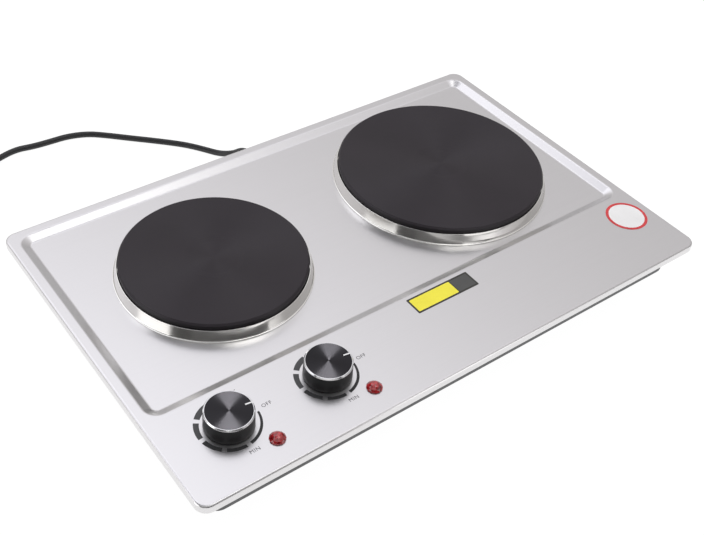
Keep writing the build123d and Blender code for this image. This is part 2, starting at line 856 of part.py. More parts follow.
with BuildPart() as inner_cord:
    terminal_back_y = mains_terminal_y + mains_terminal_size[1] / 2
    with BuildSketch(Plane(origin=(gland_x, terminal_back_y, gland_z), z_dir=(0, 1, 0))):
        Circle(cord_radius)
    extrude(amount=gland_tip_y - terminal_back_y)
save(inner_cord, "inner_cord")


def lead(points):
    """One insulated wire along straight runs joined by equal bends."""
    with BuildPart() as wire:
        with BuildLine() as route:
            FilletPolyline(*points, radius=lead_bend)
        start = Vector(*points[0])
        with BuildSketch(Plane(origin=start, z_dir=Vector(*points[1]) - start)):
            Circle(lead_radius)
        sweep(path=route.line)
    return wire.part


# Internal leads: they start at the poles of the mains terminal and end at the tabs
pole_y = mains_terminal_y - mains_terminal_size[1] / 2
lead_z = floor_z + lead_radius + slip
hop_y = pole_y - lead_hop
drop_y = hop_y - lead_drop
lead_pair = lead_radius + slip
live_x = gland_x
neutral_x = gland_x + mains_pole_pitch
earth_x = gland_x - mains_pole_pitch
stat_tip_y = thermostat_back_y + tab_size[1]
stat_turn_y = stat_tip_y + lead_drop
stat_half = thermostat_tab_spacing / 2
plate_tip_y = terminal_front_y - tab_size[1]
plate_turn_y = plate_tip_y - lead_drop
tab_half = tab_spacing / 2
left_x, right_x = (x for x, radius in plates.values())
left_stat_x, right_stat_x = knobs.values()
aisle_x = (left_x + right_x) / 2 - lead_aisle

lead_routes = {
    "live_leads": [
        [
            (live_x - lead_pair, pole_y, gland_z),
            (live_x - lead_pair, hop_y, gland_z),
            (live_x - lead_pair, drop_y, lead_z),
            (aisle_x - lead_lane, plate_turn_y - lead_lane, lead_z),
            (left_stat_x + left_lead_rise, stat_turn_y + lead_lane, lead_z),
            (left_stat_x - stat_half, stat_turn_y, thermostat_tab_z),
            (left_stat_x - stat_half, stat_tip_y, thermostat_tab_z),
        ],
        [
            (live_x + lead_pair, pole_y, gland_z),
            (live_x + lead_pair, hop_y, gland_z),
            (live_x + lead_pair, drop_y, lead_z),
            (aisle_x, plate_turn_y - 2 * lead_lane, lead_z),
            (right_stat_x + right_lead_rise, stat_turn_y, lead_z),
            (right_stat_x - stat_half, stat_turn_y, thermostat_tab_z),
            (right_stat_x - stat_half, stat_tip_y, thermostat_tab_z),
        ],
    ],
    "neutral_leads": [
        [
            (neutral_x - lead_pair, pole_y, gland_z),
            (neutral_x - lead_pair, drop_y, gland_z),
            (left_x + plate_lead_span, plate_tip_y, gland_z),
            (left_x + tab_half, plate_turn_y, terminal_tab_z),
            (left_x + tab_half, plate_tip_y, terminal_tab_z),
        ],
        [
            (neutral_x + lead_pair, pole_y, gland_z),
            (neutral_x + lead_pair, hop_y, gland_z),
            (neutral_x + lead_pair, drop_y, lead_z),
            (right_x - plate_lead_span, plate_tip_y - lead_lane, lead_z),
            (right_x - tab_half, plate_turn_y, terminal_tab_z),
            (right_x - tab_half, plate_tip_y, terminal_tab_z),
        ],
    ],
    "switched_leads": [
        [
            (left_stat_x + stat_half, stat_tip_y, thermostat_tab_z),
            (left_stat_x + stat_half, stat_turn_y, thermostat_tab_z),
            (left_x - tab_half, plate_turn_y, terminal_tab_z),
            (left_x - tab_half, plate_tip_y, terminal_tab_z),
        ],
        [
            (right_stat_x + stat_half, stat_tip_y, thermostat_tab_z),
            (right_stat_x + stat_half, stat_turn_y - lead_lane, thermostat_tab_z),
            (right_x - right_lead_span, stat_turn_y, lead_z),
            (right_x + tab_half, stat_turn_y + lead_lane, lead_z),
            (right_x + tab_half, plate_turn_y, terminal_tab_z),
            (right_x + tab_half, plate_tip_y, terminal_tab_z),
        ],
    ],
    "earth_lead": [
        [
            (earth_x, pole_y, gland_z),
            (earth_x, drop_y, gland_z),
            (earth_stud_x, drop_y, gland_z),
            (earth_stud_x, mains_terminal_y - foot_screw_radius - slip, gland_z),
        ],
    ],
}
for node, routes in lead_routes.items():
    with BuildPart() as leads:
        for route in routes:
            add(lead(route))
    save(leads, node)

# Mains cord: out of the gland, down to the floor and along it to the coil of its spare length
coil_floor = tie_sheet + slip
heading_x, heading_y = coil_entry_heading
coil_x, coil_y = coil_centre
touch_x = coil_x - heading_y * coil_radius
touch_y = coil_y + heading_x * coil_radius
coil_entry = (
    touch_x - heading_x * coil_entry_length,
    touch_y - heading_y * coil_entry_length,
    coil_floor + cord_radius,
)
coil_approach_start = (
    coil_entry[0] - heading_x * coil_approach,
    coil_entry[1] - heading_y * coil_approach,
    coil_entry[2],
)
cord_points = [
    (gland_x, gland_tip_y, gland_z),
    (gland_x, 176.5, gland_z),
    (5.6, 185.75, 21.75),
    (4.55, 194.4, 17.1),
    (2.6, 201.7, 10.4),
    (-0.9, 209.8, 5.6),
    (-6.4, 218.6, cord_radius),
    (-13.6, 229.6, cord_radius),
    (-22.4, 241.9, cord_radius),
    (-31.5, 252.3, cord_radius),
    (-50.3, 269.9, cord_radius),
    (-69.3, 286.6, cord_radius),
    (-86.3, 302.2, cord_radius),
    (-101.0, 313.9, cord_radius),
    (-120.2, 320.3, cord_radius),
    (-137.9, 320.9, cord_radius),
    (-155.3, 322.1, cord_radius),
    (-172.8, 325.9, cord_radius),
    coil_approach_start,
    coil_entry,
]


def corner_radii(points):
    """For each corner the largest arc that leaves a tenth of the shorter run straight."""
    spots = [Vector(*point) for point in points]
    radii = []
    for before, corner, after in zip(spots, spots[1:], spots[2:]):
        run_in = corner - before
        run_out = after - corner
        half_turn = radians(run_in.get_angle(run_out)) / 2
        radii.append(0.45 * min(run_in.length, run_out.length) / tan(half_turn))
    return radii


cord_bends = corner_radii(cord_points)
with BuildPart() as mains_cord:
    with BuildLine() as cord_line:
        FilletPolyline(*cord_points, radius=cord_bends)
    with BuildSketch(Plane(origin=cord_points[0], z_dir=(0, 1, 0))):
        Circle(cord_radius)
    sweep(path=cord_line.line)
save(mains_cord, "mains_cord")
cord_length = sum(edge.length for edge in cord_line.edges())
print("cord bend radii", [round(bend, 1) for bend in cord_bends])
print("cord tube length", round(cord_length, 1))
cord_section = pi * cord_radius**2
print("cord volume share", round(mains_cord.part.volume / (cord_section * cord_length), 4))

# Coil: the outer shape of the turns, with the stretches that enter and leave it
plug_z = plug_size[2] / 2
with BuildPart() as cord_coil:
    with BuildSketch(section(coil_x, coil_y)):
        with Locations((coil_radius, coil_floor + coil_height / 2)):
            RectangleRounded(coil_width, coil_height, cord_radius)
    revolve(axis=upright(coil_x, coil_y))
    with BuildSketch(Plane(origin=coil_entry, z_dir=(heading_x, heading_y, 0))):
        Circle(cord_radius)
    extrude(amount=coil_entry_length)
    with BuildSketch(Plane(origin=(coil_x - coil_radius, coil_y, plug_z), z_dir=(0, 1, 0))):
        Circle(cord_radius)
    extrude(amount=coil_exit_length)
save(cord_coil, "cord_coil")

tie_x = cos(radians(tie_angle))
tie_y = sin(radians(tie_angle))
with BuildPart() as coil_tie:
    with BuildSketch(Plane(origin=(coil_x, coil_y, 0), x_dir=(tie_x, tie_y, 0), z_dir=(tie_y, -tie_x, 0))):
        with Locations((coil_radius, tie_sheet + slip + coil_height / 2)):
            Rectangle(coil_width + 2 * tie_slack + 2 * tie_sheet, coil_height + 2 * slip + 2 * tie_sheet)
            Rectangle(coil_width + 2 * tie_slack, coil_height + 2 * slip, mode=Mode.SUBTRACT)
    extrude(amount=tie_width / 2, both=True)
save(coil_tie, "coil_tie")

# Plug at the end of the cord
plug_x = coil_x - coil_radius
relief_y = coil_y + coil_exit_length
plug_back_y = relief_y + plug_relief_length
plug_front_y = plug_back_y + plug_size[1]
with BuildPart() as plug_body:
    with BuildSketch(Plane(origin=(plug_x, plug_back_y, plug_z), x_dir=(1, 0, 0), z_dir=(0, 1, 0))):
        RectangleRounded(plug_size[0], plug_size[2], plug_corner)
    extrude(amount=plug_size[1])
    fillet(plug_body.edges().group_by(Axis.Y)[0], plug_back_round)
    with BuildSketch(Plane(origin=(plug_x, 0, plug_z), z_dir=(0, 0, 1))):
        with BuildLine():
            Polyline(
                (0, relief_y),
                (plug_relief_tip, relief_y),
                (plug_relief_root, plug_back_y + plug_back_round),
                (0, plug_back_y + plug_back_round),
                close=True,
            )
        make_face()
    revolve(axis=Axis((plug_x, 0, plug_z), (0, 1, 0)))
save(plug_body, "plug_body")

with BuildPart() as plug_blades:
    for side in (-1, 1):
        with Locations(
            (plug_x - plug_pin_shift, plug_front_y + blade_size[1] / 2, plug_z + side * blade_spacing / 2)
        ):
            Box(*blade_size)
    earth_pin_x = plug_x - plug_pin_shift + earth_pin_offset
    with BuildSketch(Plane(origin=(earth_pin_x, plug_front_y, plug_z), z_dir=(0, 1, 0))):
        Circle(earth_pin_radius)
    extrude(amount=earth_pin_length)
save(plug_blades, "plug_blades")
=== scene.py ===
import json
from math import cos, pi, radians, sin, tan

import bmesh
import bpy
from mathutils import Matrix, Vector


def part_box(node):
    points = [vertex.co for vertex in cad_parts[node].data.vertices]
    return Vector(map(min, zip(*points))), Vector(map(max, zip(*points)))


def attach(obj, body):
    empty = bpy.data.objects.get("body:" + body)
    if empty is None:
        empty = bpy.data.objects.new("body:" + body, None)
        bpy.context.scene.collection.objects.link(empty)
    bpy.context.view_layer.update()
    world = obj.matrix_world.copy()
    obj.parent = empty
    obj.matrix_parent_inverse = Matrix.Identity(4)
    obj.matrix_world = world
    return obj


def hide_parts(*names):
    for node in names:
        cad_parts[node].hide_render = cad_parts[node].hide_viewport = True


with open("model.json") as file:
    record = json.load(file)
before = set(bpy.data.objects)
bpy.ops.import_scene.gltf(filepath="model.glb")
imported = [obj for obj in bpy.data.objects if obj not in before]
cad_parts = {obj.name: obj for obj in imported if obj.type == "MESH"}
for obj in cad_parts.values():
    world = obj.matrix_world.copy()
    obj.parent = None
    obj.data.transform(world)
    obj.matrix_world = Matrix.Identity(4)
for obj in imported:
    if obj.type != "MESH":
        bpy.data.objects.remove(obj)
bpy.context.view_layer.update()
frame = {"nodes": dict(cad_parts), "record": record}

nodes = frame["nodes"]
scene = bpy.context.scene
MM = 0.001


def link(name, data):
    """A new object in the scene."""
    obj = bpy.data.objects.new(name, data)
    scene.collection.objects.link(obj)
    return obj


def centre_of(node):
    """A node's middle seen from above, in millimetres."""
    low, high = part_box(node)
    return tuple(round((low[axis] + high[axis]) / 2 / MM, 2) for axis in (0, 1))


def radius_of(node):
    """Half a round node's width, in millimetres."""
    low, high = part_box(node)
    return round((high[0] - low[0]) / 2 / MM, 2)


def heights_of(node):
    """The heights of a node's underside and top, in millimetres."""
    low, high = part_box(node)
    return round(low[2] / MM, 2), round(high[2] / MM, 2)


# Places, sizes and heights of the solids, in millimetres
SIDES = ("left", "right")
PLATES = {side: centre_of(f"{side}_plate") for side in SIDES}
PLATE_RADII = {side: radius_of(f"{side}_plate") for side in SIDES}
KNOBS = {side: centre_of(f"{side}_knob_cap") for side in SIDES}
LAMPS = {side: centre_of(f"{side}_lamp_lens") for side in SIDES}
RIM_Z = heights_of("top_panel")[1]
RECESS_Z = heights_of("left_trim_ring")[0]
KNOB_FACE_Z = heights_of("left_knob_cap")[1]

# Camera: the photograph's place, angle and framing, with lengths in millimetres
IMAGE_WIDTH, IMAGE_HEIGHT = 704, 535
SENSOR_WIDTH = 36.0
FOCAL_PIXELS = 1028.529
PRINCIPAL_POINT = (320.0, 269.0)
CAMERA_AZIMUTH, CAMERA_ELEVATION, CAMERA_ROLL = radians(-38.622), radians(42.683), radians(4.407)
CAMERA_DISTANCE = 842.968
CLIP_START = 0.01
CAMERA_TARGET = Vector((-49.277, -12.324, 48.0))

back = Vector((
    sin(CAMERA_AZIMUTH) * cos(CAMERA_ELEVATION),
    -cos(CAMERA_AZIMUTH) * cos(CAMERA_ELEVATION),
    sin(CAMERA_ELEVATION),
))
level = Vector((cos(CAMERA_AZIMUTH), sin(CAMERA_AZIMUTH), 0))
upward = level.cross(-back)
right = level * cos(CAMERA_ROLL) + upward * sin(CAMERA_ROLL)
up = upward * cos(CAMERA_ROLL) - level * sin(CAMERA_ROLL)
camera_data = bpy.data.cameras.new("camera")
camera_data.sensor_width = SENSOR_WIDTH
camera_data.lens = FOCAL_PIXELS / IMAGE_WIDTH * SENSOR_WIDTH
camera_data.shift_x = (IMAGE_WIDTH / 2 - PRINCIPAL_POINT[0]) / IMAGE_WIDTH
camera_data.shift_y = (PRINCIPAL_POINT[1] - IMAGE_HEIGHT / 2) / IMAGE_WIDTH
camera_data.clip_start = CLIP_START
camera = link("camera", camera_data)
axes = Matrix((right, up, back)).transposed().to_4x4()
camera.matrix_world = Matrix.Translation((CAMERA_TARGET + back * CAMERA_DISTANCE) * MM) @ axes
scene.camera = camera

# Cord: the part's own route in millimetres, out of the gland, over the floor, round the coil and into the plug
CORD_DIAMETER = 6.0
CORD_SIDES, CORD_STEPS, CORD_ORDER = 5, 8, 3
CORD_ROUTE = [
    (6.0, 168.0, 24.0), (6.0, 176.5, 24.0), (5.6, 185.75, 21.75), (4.55, 194.4, 17.1), (2.6, 201.7, 10.4),
    (-0.9, 209.8, 5.6), (-6.4, 218.6, 3.0), (-13.6, 229.6, 3.0), (-22.4, 241.9, 3.0), (-31.5, 252.3, 3.0),
    (-50.3, 269.9, 3.0), (-69.3, 286.6, 3.0), (-86.3, 302.2, 3.0), (-101.0, 313.9, 3.0), (-120.2, 320.3, 3.0),
    (-137.9, 320.9, 3.0), (-155.3, 322.1, 3.0), (-172.8, 325.9, 3.0), (-192.7, 319.8, 3.85),
    (-202.9, 315.7, 3.85), (-215.4, 310.7, 3.85),
]
PLUG_ROUTE = [(-273.2, 338.0, 11.4), (-273.2, 350.0, 12.0), (-273.2, 360.0, 12.0), (-273.2, 367.0, 12.0)]

# Coil: degrees turned, radius and height along an outer turn, an inner turn and one on top of them
COIL_CENTRE = (-240.2, 336.3)
COIL_START, COIL_STEP, COIL_POINTS = -68.1, 20.0, 60
COIL_KEYS = [
    (0, 33.6, 3.85), (70, 36.0, 3.85), (330, 36.0, 3.85), (450, 30.0, 3.85), (690, 30.0, 3.85),
    (790, 33.0, 9.1), (1090, 33.0, 9.1), (1192, 33.0, 11.2),
]


def coil_shape(swept):
    """Radius and height of the coil after so many degrees, eased from key to key."""
    for (a, radius_a, height_a), (b, radius_b, height_b) in zip(COIL_KEYS, COIL_KEYS[1:]):
        if swept <= b:
            share = (swept - a) / (b - a)
            share = share * share * (3 - 2 * share)
            return radius_a + share * (radius_b - radius_a), height_a + share * (height_b - height_a)
    return COIL_KEYS[-1][1:]


coil_route = []
for number in range(COIL_POINTS):
    radius, height = coil_shape(number * COIL_STEP)
    angle = radians(COIL_START - number * COIL_STEP)
    coil_route.append((COIL_CENTRE[0] + radius * cos(angle), COIL_CENTRE[1] + radius * sin(angle), height))
cord_points = CORD_ROUTE + coil_route + PLUG_ROUTE

cord_data = bpy.data.curves.new("cord", "CURVE")
cord_data.dimensions = "3D"
cord_data.bevel_depth = 1.0
cord_data.bevel_resolution = CORD_SIDES
cord_data.resolution_u = CORD_STEPS
cord_data.use_fill_caps = True
cord_spline = cord_data.splines.new("NURBS")
cord_spline.points.add(len(cord_points) - 1)
for spline_point, place in zip(cord_spline.points, cord_points):
    spline_point.co = (place[0] * MM, place[1] * MM, place[2] * MM, 1.0)
    spline_point.radius = CORD_DIAMETER / 2 * MM
cord_spline.order_u = CORD_ORDER
cord_spline.use_endpoint_u = True
cord = link("mains_lead", cord_data)
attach(cord, "housing")
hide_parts("mains_cord", "cord_coil")

# Materials: each is a small node tree with its own colour change, roughness and fine relief
NOISE_LOW, NOISE_HIGH = 0.3, 0.7
MOTTLE, CAST_MOTTLE = 35.0, 28.0
MOULDED_GLOSS, TURNED_GLOSS = 0.15, 0.05
GROOVE_WAVER, GROOVE_DETAIL = 1.2, 40.0
QUARTER_TURN = 0.25
WHITE = (1.0, 1.0, 1.0, 1.0)


def start_material(name, base, roughness, metallic=0.0, **sockets):
    """A new material with its shader's constant values set. Returns the material and its shader."""
    made = bpy.data.materials.new(name)
    made.use_nodes = True
    shader = made.node_tree.nodes["Principled BSDF"]
    shader.inputs["Base Color"].default_value = (*base, 1.0)
    shader.inputs["Roughness"].default_value = roughness
    shader.inputs["Metallic"].default_value = metallic
    for socket, value in sockets.items():
        shader.inputs[socket.replace("_", " ")].default_value = value
    return made, shader


def add_node(made, kind, **values):
    """A node of that kind with its settings and unlinked inputs given by name."""
    node = made.node_tree.nodes.new(kind)
    for name, value in values.items():
        if hasattr(node, name):
            setattr(node, name, value)
        else:
            node.inputs[name.replace("_", " ")].default_value = value
    return node


def wire(made, source, output, target, socket):
    """Links one node's output to another's input."""
    made.node_tree.links.new(source.outputs[output], target.inputs[socket])


def coordinates(made, scale):
    """Coordinates in metres, fixed to the piece and stretched by scale."""
    place = add_node(made, "ShaderNodeTexCoord")
    mapping = add_node(made, "ShaderNodeMapping", Scale=scale)
    wire(made, place, "Object", mapping, "Vector")
    return mapping


def noise(made, scale, detail=3.0, rough=0.55):
    """Noise over the piece's own coordinates: scale is per metre along each axis."""
    texture = add_node(made, "ShaderNodeTexNoise", Scale=1.0, Detail=detail, Roughness=rough)
    wire(made, coordinates(made, scale), "Vector", texture, "Vector")
    return texture


def spread(made, texture, low, high, start=NOISE_LOW, end=NOISE_HIGH):
    """Maps a texture's value range start to end onto low to high."""
    ranged = add_node(made, "ShaderNodeMapRange")
    ranged.inputs["From Min"].default_value = start
    ranged.inputs["From Max"].default_value = end
    ranged.inputs["To Min"].default_value = low
    ranged.inputs["To Max"].default_value = high
    wire(made, texture, 0, ranged, "Value")
    return ranged


def tint(made, texture, dark, light):
    """Colours a texture's value between two shades."""
    ramp = add_node(made, "ShaderNodeValToRGB")
    ramp.color_ramp.elements[0].position = NOISE_LOW
    ramp.color_ramp.elements[0].color = (*dark, 1.0)
    ramp.color_ramp.elements[1].position = NOISE_HIGH
    ramp.color_ramp.elements[1].color = (*light, 1.0)
    wire(made, texture, 0, ramp, "Fac")
    return ramp


def relief(made, shader, texture, distance):
    """Fine bump from a texture, distance in metres."""
    bump = add_node(made, "ShaderNodeBump", Strength=1.0, Distance=distance)
    wire(made, texture, 0, bump, "Height")
    wire(made, bump, "Normal", shader, "Normal")


def grey(level):
    """A colour without hue."""
    return level, level, level


def shades(colour, change):
    """A darker and a lighter shade of a colour."""
    return tuple(part * (1 - change) for part in colour), tuple(part * (1 + change) for part in colour)


def plain(name, colour, roughness, grain=900.0, change=0.12, depth=0.00002, **sockets):
    """A moulded, painted or plated surface: slight mottling, changing gloss and a fine grain."""
    made, shader = start_material(name, colour, roughness, **sockets)
    cloudy = noise(made, (MOTTLE, MOTTLE, MOTTLE))
    dark, light = shades(colour, change)
    wire(made, tint(made, cloudy, dark, light), "Color", shader, "Base Color")
    smooth, rough = roughness * (1 - MOULDED_GLOSS), roughness * (1 + MOULDED_GLOSS)
    wire(made, spread(made, cloudy, smooth, rough), 0, shader, "Roughness")
    relief(made, shader, noise(made, (grain, grain, grain), 2.0), depth)
    return made


def brushed(name, colour, roughness, stretch, change=0.05, depth=0.000004, gloss=0.06):
    """Steel with fine streaks: stretch is the noise scale per metre along x, y and z."""
    made, shader = start_material(name, colour, roughness, 1.0)
    streaks = noise(made, stretch, 4.0, 0.6)
    dark, light = shades(colour, change)
    wire(made, tint(made, streaks, dark, light), "Color", shader, "Base Color")
    wire(made, spread(made, streaks, roughness - gloss, roughness + gloss), 0, shader, "Roughness")
    relief(made, shader, streaks, depth)
    return made


def turned(name, colour, roughness, metallic, anisotropy, grooves, depth, centre, change=0.08, **sockets):
    """A lathe-turned face: rings round its centre, and a highlight drawn out across them."""
    made, shader = start_material(
        name, colour, roughness, metallic, Anisotropic=anisotropy, Anisotropic_Rotation=QUARTER_TURN, **sockets,
    )
    around = add_node(made, "ShaderNodeTangent", direction_type="RADIAL", axis="Z")
    wire(made, around, "Tangent", shader, "Tangent")
    place = add_node(made, "ShaderNodeTexCoord")
    centred = add_node(made, "ShaderNodeMapping", Location=(-centre[0] * MM, -centre[1] * MM, 0.0))
    wire(made, place, "Object", centred, "Vector")
    rings = add_node(
        made, "ShaderNodeTexWave", wave_type="RINGS", rings_direction="Z",
        Scale=grooves, Distortion=GROOVE_WAVER, Detail=2.0, Detail_Scale=GROOVE_DETAIL,
    )
    wire(made, centred, "Vector", rings, "Vector")
    cloudy = noise(made, (CAST_MOTTLE, CAST_MOTTLE, CAST_MOTTLE), 4.0)
    dark, light = shades(colour, change)
    wire(made, tint(made, cloudy, dark, light), "Color", shader, "Base Color")
    smooth, rough = roughness * (1 - TURNED_GLOSS), roughness * (1 + TURNED_GLOSS)
    wire(made, spread(made, rings, smooth, rough, 0.0, 1.0), 0, shader, "Roughness")
    relief(made, shader, rings, depth)
    return made


looks = {
    "panel_steel": brushed(
        "panel_steel", (0.73, 0.72, 0.725), 0.3, (9.0, 2600.0, 2600.0),
        change=0.014, depth=0.000001, gloss=0.02,
    ),
    "polished_ring": brushed(
        "polished_ring", (0.83, 0.82, 0.79), 0.06, (160.0, 160.0, 1400.0),
        change=0.03, depth=0.000001, gloss=0.02,
    ),
    "base_paint": plain("base_paint", (0.095, 0.095, 0.1), 0.42, grain=1500.0),
    "heater_cement": plain("heater_cement", (0.55, 0.51, 0.44), 0.9, depth=0.0002),
    "zinc_steel": brushed("zinc_steel", (0.56, 0.57, 0.58), 0.36, (60.0, 240.0, 240.0), change=0.1),
    "ceramic": plain("ceramic", (0.78, 0.75, 0.68), 0.5),
    "brass": brushed("brass", (0.70, 0.53, 0.24), 0.32, (300.0, 60.0, 300.0), change=0.1),
    "knob_plastic": plain(
        "knob_plastic", (0.011, 0.011, 0.012), 0.4, grain=2200.0, depth=0.000006, Specular_IOR_Level=0.35,
    ),
    "knob_chrome": brushed("knob_chrome", (0.82, 0.82, 0.83), 0.12, (400.0, 400.0, 900.0), gloss=0.03),
    "pointer_white": plain("pointer_white", (0.7, 0.7, 0.7), 0.45, change=0.04),
    "terminal_plastic": plain("terminal_plastic", (0.08, 0.075, 0.07), 0.55),
    "foot_rubber": plain("foot_rubber", (0.02, 0.02, 0.021), 0.75, depth=0.00006),
    "cord_rubber": plain("cord_rubber", (0.012, 0.012, 0.013), 0.42, grain=1200.0, depth=0.00003),
    "tie_plastic": plain("tie_plastic", (0.014, 0.014, 0.015), 0.5),
    "plug_plastic": plain("plug_plastic", (0.016, 0.016, 0.017), 0.46, depth=0.00004),
    "lead_brown": plain("lead_brown", (0.16, 0.07, 0.03), 0.45),
    "lead_black": plain("lead_black", (0.02, 0.02, 0.02), 0.45),
    "lead_blue": plain("lead_blue", (0.04, 0.12, 0.4), 0.45),
    "lead_green": plain("lead_green", (0.12, 0.36, 0.06), 0.45),
}
slot_of = {part["node"]: part["material_slot"] for part in frame["record"]["subparts"]}


def dress(obj, made):
    """Gives a piece one material."""
    obj.data.materials.clear()
    obj.data.materials.append(made)


for name, node in nodes.items():
    if slot_of[name] in looks:
        dress(node, looks[slot_of[name]])
for side in SIDES:
    dress(nodes[f"{side}_plate"], turned(
        f"{side}_cast_plate", (0.0165, 0.0125, 0.0165), roughness=0.48, metallic=0.0, anisotropy=0.85,
        grooves=260.0, depth=0.000006, centre=PLATES[side], Specular_IOR_Level=0.4,
    ))
    dress(nodes[f"{side}_knob_cap"], turned(
        f"{side}_spun_cap", (0.032, 0.031, 0.034), roughness=0.34, metallic=1.0, anisotropy=0.95,
        grooves=900.0, depth=0.000002, centre=KNOBS[side],
    ))
dress(cord, looks["cord_rubber"])


def build(name, make, made, body="housing"):
    """A mesh piece filled in by make(bmesh), riding on a body."""
    mesh = bmesh.new()
    make(mesh)
    data = bpy.data.meshes.new(name)
    mesh.to_mesh(data)
    mesh.free()
    piece = link(name, data)
    dress(piece, made)
    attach(piece, body)
    return piece


ROUND_STEPS = 6


def rounded(corners):
    """Points of a closed outline whose corners, each two places and a radius, are rounded by arcs."""
    outline = []
    for number, (*place, radius) in enumerate(corners):
        corner = Vector(place)
        one = (Vector(corners[number - 1][:2]) - corner).normalized()
        two = (Vector(corners[(number + 1) % len(corners)][:2]) - corner).normalized()
        half = one.angle(two) / 2
        centre = corner + (one + two).normalized() * (radius / sin(half))
        first = (corner + one * (radius / tan(half)) - centre).normalized()
        last = (corner + two * (radius / tan(half)) - centre).normalized()
        outline += [centre + first.slerp(last, step / ROUND_STEPS) * radius for step in range(ROUND_STEPS + 1)]
    return outline


# Trim rings: a rolled lip, a leaning band, a foot on the panel and a shelf under the plate, as heights and as
# reaches outside the plate's edge
RING_GAP = 0.02
RING_LIP_Z, RING_SHELF_Z, RING_FOOT_Z = 54.3, 50.0, RECESS_Z + RING_GAP
RING_SHEET, RING_ROLL = 0.7, 1.15
RING_LIP, RING_FOOT, RING_EDGE, RING_SHELF, RING_INSIDE = 1.5, 3.6, 4.6, -5.0, 1.7
RING_CURL, RING_BEND, RING_SOFT, RING_CRISP = 0.35, 1.2, 0.3, 0.1
RING_SECTION = rounded([
    (RING_LIP - RING_ROLL, RING_LIP_Z, RING_SOFT),
    (RING_LIP, RING_LIP_Z, RING_CURL),
    (RING_FOOT, RING_FOOT_Z + RING_SHEET, RING_BEND),
    (RING_EDGE, RING_FOOT_Z + RING_SHEET, RING_SOFT),
    (RING_EDGE, RING_FOOT_Z, RING_CRISP),
    (RING_FOOT - RING_SHEET, RING_FOOT_Z, RING_SOFT),
    (RING_FOOT - 2 * RING_SHEET, RING_SHELF_Z - RING_SHEET, RING_SOFT),
    (RING_SHELF, RING_SHELF_Z - RING_SHEET, RING_CRISP),
    (RING_SHELF, RING_SHELF_Z, RING_CRISP),
    (RING_INSIDE, RING_SHELF_Z, RING_CRISP),
])
RING_SHARP = radians(50.0)
RING_STEPS = 160


def spun(centre, plate_radius):
    """Fills a bmesh with the ring's section turned round a plate."""
    def make(mesh):
        rows = []
        for step in range(RING_STEPS):
            turn = 2 * pi * step / RING_STEPS
            rows.append([
                mesh.verts.new((
                    (centre[0] + (plate_radius + reach) * cos(turn)) * MM,
                    (centre[1] + (plate_radius + reach) * sin(turn)) * MM,
                    height * MM,
                ))
                for reach, height in RING_SECTION
            ])
        for number, row in enumerate(rows):
            after = rows[(number + 1) % RING_STEPS]
            for low in range(len(row)):
                high = (low + 1) % len(row)
                mesh.faces.new((row[low], after[low], after[high], row[high])).smooth = True
        bmesh.ops.recalc_face_normals(mesh, faces=mesh.faces)
    return make


for side, centre in PLATES.items():
    piece = build(f"{side}_ring", spun(centre, PLATE_RADII[side]), looks["polished_ring"])
    piece.data.set_sharp_from_angle(angle=RING_SHARP)
    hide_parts(f"{side}_trim_ring")

# Knob pointers: a painted bar in the cap that runs over the bright ring's bevel
POINTER_ANGLE = radians(-8.0)
POINTER_WIDTH, POINTER_SKIN = 1.2, 0.23
POINTER_LIFT, POINTER_SUNK = 0.04, 0.3
POINTER_START, POINTER_BEND, POINTER_END, POINTER_INSIDE = 12.3, 17.62, 18.33, 17.5
POINTER_TOP, POINTER_UNDER = KNOB_FACE_Z + POINTER_LIFT, KNOB_FACE_Z - POINTER_SUNK
POINTER_TIP_Z = POINTER_TOP - (POINTER_END - POINTER_BEND)
POINTER_SECTION = [
    (POINTER_START, POINTER_UNDER), (POINTER_START, POINTER_TOP), (POINTER_BEND, POINTER_TOP),
    (POINTER_END, POINTER_TIP_Z), (POINTER_END - POINTER_SKIN, POINTER_TIP_Z - POINTER_SKIN),
    (POINTER_INSIDE, POINTER_UNDER),
]


def pointer(centre):
    """Fills a bmesh with the bar, its section along the knob's radius at rest."""
    def make(mesh):
        sides = []
        for offset in (-POINTER_WIDTH / 2, POINTER_WIDTH / 2):
            sides.append([
                mesh.verts.new((
                    (centre[0] + reach * cos(POINTER_ANGLE) - offset * sin(POINTER_ANGLE)) * MM,
                    (centre[1] + reach * sin(POINTER_ANGLE) + offset * cos(POINTER_ANGLE)) * MM,
                    height * MM,
                ))
                for reach, height in POINTER_SECTION
            ])
        mesh.faces.new(sides[0])
        mesh.faces.new(sides[1])
        for one in range(len(POINTER_SECTION)):
            two = (one + 1) % len(POINTER_SECTION)
            mesh.faces.new((sides[0][one], sides[0][two], sides[1][two], sides[1][one]))
        bmesh.ops.recalc_face_normals(mesh, faces=mesh.faces)
    return make


for side, centre in KNOBS.items():
    piece = build(f"{side}_pointer", pointer(centre), looks["pointer_white"], f"{side}_knob")
    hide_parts(f"{side}_knob_pointer")

# Dial print round each knob: arcs that thicken clockwise, and the three words
PRINT_LIFT = 0.03
PRINT_Z = RIM_Z + PRINT_LIFT
PRINT_ROUGHNESS, PRINT_GRAIN = 0.5, 3000.0
DIAL_RADIUS = 24.6
DIAL_THIN, DIAL_THICK = 1.7, 5.4
DIAL_START, DIAL_SPAN = -5.0, 300.0
DIAL_STEP, DIAL_LEAST = 3, 4
DIAL_BLACK_ARCS = 3
DIAL_ARCS = [
    (-5.0, -78.7), (-87.3, -123.7), (-132.3, -168.7), (-177.3, -213.7), (-222.3, -258.7), (-267.3, -303.7),
]
DIAL_CENTRES = {"left": (-197.0, -107.7), "right": (-112.0, -107.9)}
DIAL_WORDS = {"off": (32.4, 0.2), "min": (3.3, -29.6), "max": (15.8, 22.7)}
WORD_HEIGHT, CAPITAL_SHARE = 3.1, 0.7
WORD_SPACING, WORD_THINNING = 1.12, -0.00001
